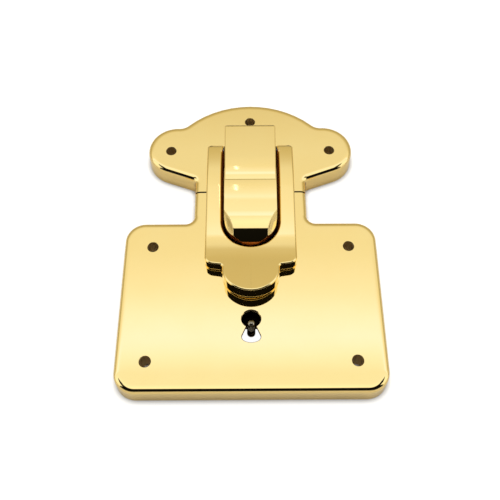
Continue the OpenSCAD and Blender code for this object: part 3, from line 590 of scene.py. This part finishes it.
finishes = {"gold": polished_gold, "brass": rolled_brass, "steel": zinc_steel, "dark_steel": black_oxide}
for part in frame["record"]["subparts"]:
    shown = frame["nodes"][part["node"]]
    shown.data.materials.clear()
    shown.data.materials.append(finishes[part["material_slot"]])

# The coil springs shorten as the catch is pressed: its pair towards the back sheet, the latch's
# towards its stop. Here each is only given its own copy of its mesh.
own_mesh(frame["nodes"]["catch_springs"])
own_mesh(frame["nodes"]["latch_spring"])

# Studio: a white table, a bright tent with a strip light behind the lock, a small lamp,
# and the dark open front where the camera stands.


def lay_sheet(name, finish_name, size, y, level):
    """A flat sheet of the stage, sized in mm, and the empty tree of its finish."""
    clear()
    bpy.ops.mesh.primitive_plane_add(size=size * mm, location=Vector((0, y, level)) * mm)
    sheet = bpy.context.object
    sheet.name = name
    finish = bpy.data.materials.new(finish_name)
    sheet.data.materials.append(finish)
    return sheet, bare_tree(finish)


def glowing_paper(tree, share, glow_links=None):
    """White paper, with a glow mixed in by a share."""
    paper = add(tree, "ShaderNodeBsdfDiffuse", inputs={"Color": linear("#F6ECDA")})
    glow = add(tree, "ShaderNodeEmission", glow_links)
    surface = add(tree, "ShaderNodeMixShader", {0: share, 1: paper.outputs[0], 2: glow.outputs[0]})
    add(tree, "ShaderNodeOutputMaterial", {"Surface": surface.outputs[0]})


def calc(tree, operation, *values):
    """A sum on numbers and on other nodes' outputs."""
    links = {i: v for i, v in enumerate(values) if isinstance(v, bpy.types.NodeSocket)}
    numbers = {i: v for i, v in enumerate(values) if i not in links}
    return add(tree, "ShaderNodeMath", links, numbers, operation=operation).outputs[0]


# The table fades from white to a soft shadow close to the lock
table, tree = lay_sheet("table", "white_table", 3000, 0, -0.02)
open_sky = add(tree, "ShaderNodeAmbientOcclusion", inputs={"Distance": 3 * mm}, samples=16)
lit = add(tree, "ShaderNodeMapRange", {"Value": open_sky.outputs["AO"]},
          {"From Min": 0.35, "From Max": 0.88, "To Max": 1.75})
rays = add(tree, "ShaderNodeLightPath").outputs
direct = calc(tree, "MULTIPLY", rays["Is Camera Ray"], 0.5)
share = calc(tree, "MULTIPLY_ADD", rays["Is Glossy Ray"], 0.12, direct)
glowing_paper(tree, share, {"Strength": lit.outputs["Result"]})

# A slip under the lock glows white to the camera: painted light where the lock's shade falls, so the white
# background shows through the keyhole's foot
slip, tree = lay_sheet("white_slip", "white_slip", 11, split - 60, -0.01)
glowing_paper(tree, add(tree, "ShaderNodeLightPath").outputs["Is Camera Ray"])

world = bpy.data.worlds.new("tent")
bpy.context.scene.world = world
tree = bare_tree(world)
ray = add(tree, "ShaderNodeTexCoord").outputs["Generated"]
axes = add(tree, "ShaderNodeSeparateXYZ", {"Vector": ray}).outputs


def fade(tree, value, low, high, start, end):
    """A smooth change of a value between two limits."""
    return add(tree, "ShaderNodeMapRange", {"Value": value},
               {"From Min": low, "From Max": high, "To Min": start, "To Max": end},
               interpolation_type="SMOOTHSTEP").outputs["Result"]


def near_to(tree, value, angle, reach):
    """One where an angle of the ray is close to a given one, in degrees."""
    away = calc(tree, "ABSOLUTE", calc(tree, "SUBTRACT", value, math.radians(angle)))
    return fade(tree, away, math.radians(reach) / 2, math.radians(reach), 1, 0)


def rise(angle):
    """The Z of a ray at a height in degrees."""
    return math.sin(math.radians(angle))


# The tent's brightness over the lock, from the back (0 degrees) over the top to the front (180)
arch = calc(tree, "ARCTAN2", axes["Z"], axes["Y"])
tent = add(tree, "ShaderNodeValToRGB", {"Fac": calc(tree, "DIVIDE", arch, math.pi)})
peak = 1.75
stops = [(0, 0.4, "#FFF5D6"), (34, 0.54, "#FFF4CE"), (43, 0.66, "#FFF5D2"), (47, 0.73, "#FFF9E3"),
         (52, 0.88, "#FFFFF9"), (60, 0.95, "#FFFFF9"), (63.3, 1.18, "#F1F5FF"), (65.2, 1.5, "#DFE6FF"),
         (67, 1.72, "#D3DCFF"), (68.5, 1.35, "#E7EFFF"), (69.6, 1.1, "#F4FAFF"), (76, 1.2, "#F0F7FF"),
         (90, 1.25, "#F6FBFF"), (180, 0.9, "#FFFFFF")]
while len(tent.color_ramp.elements) < len(stops):
    tent.color_ramp.elements.new(0.5)
for stop, (angle, bright, tint) in zip(tent.color_ramp.elements, stops):
    stop.position = angle / 180
    stop.color = [c * bright / peak for c in linear(tint)[:3]] + [1]

# The dark front: everything before the lock, up to 67 degrees, wider at the top and paler
# close to the table
below = fade(tree, axes["Z"], rise(66), rise(68.5), 1, 0)
spread = fade(tree, axes["Z"], 0.7, 0.87, 0.4, -0.6)
ahead = calc(tree, "MULTIPLY_ADD", calc(tree, "ABSOLUTE", axes["X"]), spread, axes["Y"])
front = fade(tree, ahead, -0.12, -0.04, 1, 0)
above = fade(tree, axes["Z"], rise(3), rise(7), 0.35, 1)
dark = calc(tree, "MULTIPLY", calc(tree, "MULTIPLY", front, below), above)
left = calc(tree, "SUBTRACT", 1.0, calc(tree, "MULTIPLY", dark, 0.995))
cloth = add(tree, "ShaderNodeBackground",
            {"Color": tent.outputs["Color"], "Strength": calc(tree, "MULTIPLY", left, peak)})

# The lamp: a slender one, a little left of the middle
sideways = calc(tree, "ARCTAN2", axes["X"], axes["Y"])
lamp = calc(tree, "MULTIPLY", near_to(tree, sideways, -2.5, 0.22), near_to(tree, arch, 61, 1.6))
bulb = add(tree, "ShaderNodeBackground", {"Strength": calc(tree, "MULTIPLY", lamp, 3.0)},
           {"Color": linear("#C4DCFF")})

# The camera itself sees a plain white background
sky = add(tree, "ShaderNodeAddShader", {0: cloth.outputs[0], 1: bulb.outputs[0]})
backdrop = add(tree, "ShaderNodeBackground", inputs={"Color": linear("#FFFFFF")})
camera_ray = add(tree, "ShaderNodeLightPath").outputs["Is Camera Ray"]
seen = add(tree, "ShaderNodeMixShader", {0: camera_ray, 1: sky.outputs[0], 2: backdrop.outputs[0]})
add(tree, "ShaderNodeOutputWorld", {"Surface": seen.outputs[0]})

# Camera: above and in front, looking down at sixty degrees
picture_px, focal_px = 500, 722
camera = bpy.data.cameras.new("camera")
camera.sensor_width = 36.0
camera.lens = focal_px / picture_px * camera.sensor_width
stand = bpy.data.objects.new("camera", camera)
bpy.context.scene.collection.objects.link(stand)
stand.matrix_world = (
    Matrix.Translation(Vector((-0.3, split - 170.8, 256.4)) * mm)
    @ Matrix.Rotation(math.radians(30.03), 4, "X")
    @ Matrix.Rotation(math.radians(-0.32), 4, "Z")
)
bpy.context.scene.camera = stand
bpy.context.scene.view_settings.view_transform = "Standard"

clear()
